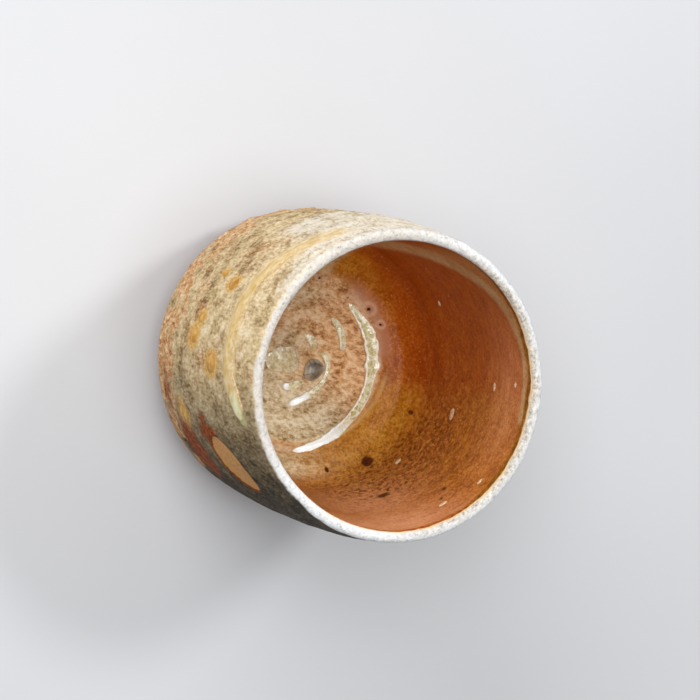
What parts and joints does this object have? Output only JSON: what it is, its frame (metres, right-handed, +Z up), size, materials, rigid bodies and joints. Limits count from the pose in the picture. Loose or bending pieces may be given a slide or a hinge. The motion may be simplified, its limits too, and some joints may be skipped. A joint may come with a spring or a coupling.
{
  "type": "yunomi tea cup",
  "caption": "Handle-less thrown tea cup with a turned foot ring, glossy liner glaze, rough ash coat, pale lip crust and pooled glass in the well.",
  "frame": {"origin": "centre of the foot ring's flat face, on the surface that the cup stands on", "axes": "+Z up along the cup's axis, through the mouth; -Y towards the side with the runs of ash; +X towards the darker side"},
  "size_m": [0.083, 0.0841, 0.0854],
  "materials": {
    "clay": "matte, fired bare",
    "liner_glaze": "glossy rust brown glaze with iron specks",
    "ash_coat": "rough grey-green natural ash",
    "lip_crust": "semi-matte white crust",
    "well_glass": "glossy pale green pooled glass",
    "centre_bead": "glossy grey glass",
    "ash_runs": "satin yellow molten ash",
    "feldspar": "white, half melted"
  },
  "bodies": {
    "root": {"clay_body": "clay", "liner_glaze": "liner_glaze", "ash_coat": "ash_coat", "lip_crust": "lip_crust", "well_glass": "well_glass", "centre_bead": "centre_bead", "ash_runs": "ash_runs", "feldspar_chips": "feldspar"}
  },
  "joints": []
}
